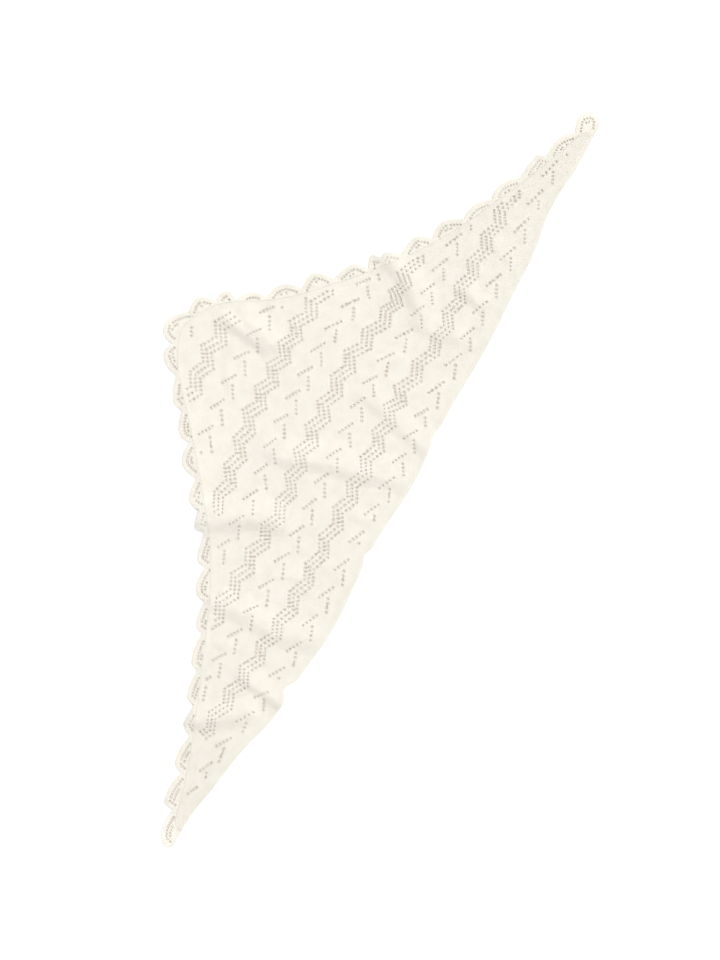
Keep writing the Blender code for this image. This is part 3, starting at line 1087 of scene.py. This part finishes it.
def knit_material(name, slant, tone_scale):
    """Ivory knitting whose stitches follow the lay of its mesh."""
    material, wires, shader = new_material(name, roughness=0.88)
    shader.inputs["Sheen Roughness"].default_value = 0.45
    shader.inputs["Sheen Tint"].default_value = (1.0, 0.98, 0.94, 1.0)
    shader.inputs["Subsurface Weight"].default_value = YARN_GLOW
    shader.inputs["Subsurface Radius"].default_value = (1.0, 0.95, 0.85)
    shader.inputs["Subsurface Scale"].default_value = GLOW_REACH * MM

    lay = wires.add("ShaderNodeUVMap", uv_map="lay").outputs["UV"]
    wrong = wires.add("ShaderNodeAttribute", attribute_name="wrong_side").outputs["Fac"]
    # The shade painted near each eyelet, read from the mesh.
    lace = wires.add("ShaderNodeAttribute", attribute_name="eyelet_painted_shade").outputs["Fac"]
    stitches = wires.add("ShaderNodeGroup", node_tree=STITCHES)
    wires.put(stitches.inputs["Lay"], lay)
    wires.put(stitches.inputs["Wrong Side"], wrong)
    wires.put(stitches.inputs["Slant"], slant)
    yarn = use_yarn(wires, lay, FIBRE_SCALE, tone_scale)

    height = stitches.outputs["Height"]
    # Painted shade: darker in the hollows between the stitch legs and close to each eyelet. The
    # random tone added to it is the yarn's own.
    uneven = wires.math("SUBTRACT", yarn.outputs["Tone"], 0.5)
    shade = wires.math("MULTIPLY", wires.math("SUBTRACT", 1.0, height), HOLLOW_SHADE)
    shade = wires.math("MULTIPLY_ADD", wires.math("POWER", lace, 2.0), EYELET_SHADE, shade)
    shade = wires.math("MULTIPLY_ADD", uneven, UNEVEN_TONE, shade)
    ramp = wires.add("ShaderNodeValToRGB")
    ramp.color_ramp.elements[0].color = IVORY_LIGHT
    ramp.color_ramp.elements[1].color = IVORY_PAINTED_SHADE
    ramp.color_ramp.elements.new(DEEP_AT).color = IVORY_DEEP
    wires.put(ramp.inputs["Fac"], wires.math("MULTIPLY", shade, SHADE_SHARE))
    wires.put(shader.inputs["Base Color"], ramp.outputs["Color"])
    relief = wires.math("MULTIPLY_ADD", yarn.outputs["Fibres"], FIBRE_SHARE, height)
    add_bump(wires, shader, relief, strength=0.8, depth=STITCH_DEPTH)

    light = wires.add("ShaderNodeLightPath")
    falling = wires.math("MAXIMUM", light.outputs["Is Shadow Ray"], light.outputs["Is Diffuse Ray"])
    falling = wires.math("MULTIPLY", falling, GAPS)
    wires.put(shader.inputs["Alpha"], wires.math("SUBTRACT", 1.0, falling))
    return material


panel.data.materials.append(knit_material("ivory_lace_knit", slant=0.55, tone_scale=0.16))
edging_yarn = knit_material("ivory_edging_knit", slant=0.5, tone_scale=0.2)
left_edging.data.materials.append(edging_yarn)
right_edging.data.materials.append(edging_yarn)


# %% [markdown]
# The joining stitches have no lay, because each is a strand of yarn. Their material reads the
# place in space, and shows the yarn's ply as fine slanting lines.

# %% Strand material
PLY_SCALE = 420.0
PLY_SHARE = 0.6
PLY_DEPTH = 0.2


def strand_material(name):
    """One plied strand of the same yarn."""
    material, wires, shader = new_material(name, roughness=0.85)
    place = wires.add("ShaderNodeTexCoord").outputs["Object"]
    yarn = use_yarn(wires, place, fibre_scale=1400.0, tone_scale=20.0)
    ply = wires.add("ShaderNodeTexWave", bands_direction="DIAGONAL")
    ply.inputs["Scale"].default_value = PLY_SCALE
    wires.put(ply.inputs["Vector"], place)
    ramp = wires.add("ShaderNodeValToRGB")
    ramp.color_ramp.elements[0].color = IVORY_DEEP
    ramp.color_ramp.elements[1].color = IVORY_LIGHT
    ramp.color_ramp.elements[1].position = DEEP_AT
    wires.put(ramp.inputs["Fac"], yarn.outputs["Tone"])
    wires.put(shader.inputs["Base Color"], ramp.outputs["Color"])
    relief = wires.math("MULTIPLY_ADD", ply.outputs["Fac"], PLY_SHARE, yarn.outputs["Fibres"])
    add_bump(wires, shader, relief, strength=0.5, depth=PLY_DEPTH)
    return material


strand_yarn = strand_material("ivory_joining_yarn")
left_stitches.data.materials.append(strand_yarn)
right_stitches.data.materials.append(strand_yarn)

# %% [markdown]
# ## Joining the frame
# Nothing on a shawl moves, so every piece rides on the one body. Each knitted sheet stands for
# its plain solid, which is hidden.

for piece, node, slot in (
    (panel, "lace_panel", "lace_knit"),
    (left_edging, "scallop_edging_left", "edging_knit"),
    (right_edging, "scallop_edging_right", "edging_knit"),
):
    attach(piece, "root")
    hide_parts(node)
for piece in (left_stitches, right_stitches):
    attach(piece, "root")

# %% [markdown]
# ## The table, the camera and the light
# The shawl is seen from straight above and turned, so that its corner points up and to the left.
# A long lens from high up keeps the folds from leaning. The light is soft and comes a little more
# from the right tip's side, so the side of each fold that faces the left tip is shaded. The table
# is matt and almost white, so it stays plain and throws light back up into the lace.

# %% Table
TABLE_SIZE = 12.0
TABLE_DROP = 0.0002
TABLE_WHITE = (0.97, 0.97, 0.97, 1.0)

table_mesh = bpy.data.meshes.new("table")
half = 0.5 * TABLE_SIZE
table_mesh.from_pydata(
    [(-half, -half, 0.0), (half, -half, 0.0), (half, half, 0.0), (-half, half, 0.0)],
    [], [(0, 1, 2, 3)],
)
table = placed("table", table_mesh)
table.location.z = -TABLE_DROP
table_paint, _, paint = new_material("pale_table", roughness=1.0, specular=0.0, sheen=0.0)
paint.inputs["Base Color"].default_value = TABLE_WHITE
table_mesh.materials.append(table_paint)

# %% Camera
VIEW_SPAN = 1.700
CAMERA_HEIGHT = 5.1
SENSOR = 36.0
VIEW_MIDDLE = (-20.7, 35.1)
IMAGE_UP = Vector((0.8616, 0.5075, 0.0))

camera_data = bpy.data.cameras.new("camera")
camera_data.sensor_width = SENSOR
camera_data.lens = SENSOR * CAMERA_HEIGHT / VIEW_SPAN
camera = placed("camera", camera_data)
middle = (np.array(VIEW_MIDDLE) - CENTRE) * MM
camera.location = (middle[0], middle[1], CAMERA_HEIGHT)
camera.rotation_euler = (0.0, 0.0, np.arctan2(-IMAGE_UP.x, IMAGE_UP.y))
bpy.context.scene.camera = camera
print("camera over", middle.round(4), "lens", round(camera_data.lens, 1))

# %% Light
AMBIENT = 0.99
SUN = 1.85
SUN_SPREAD = 24.0
SUN_FROM = Vector((1.0, -0.2, 1.6))

world = bpy.data.worlds.new("studio")
world.use_nodes = True
world.node_tree.nodes["Background"].inputs["Color"].default_value = (1.0, 1.0, 1.0, 1.0)
world.node_tree.nodes["Background"].inputs["Strength"].default_value = AMBIENT
bpy.context.scene.world = world

sun_data = bpy.data.lights.new("soft_key", "SUN")
sun_data.energy = SUN
sun_data.angle = np.radians(SUN_SPREAD)
sun = placed("soft_key", sun_data)
sun.rotation_mode = "QUATERNION"
sun.rotation_quaternion = SUN_FROM.to_track_quat("Z", "Y")
bpy.context.scene.view_settings.view_transform = "Standard"
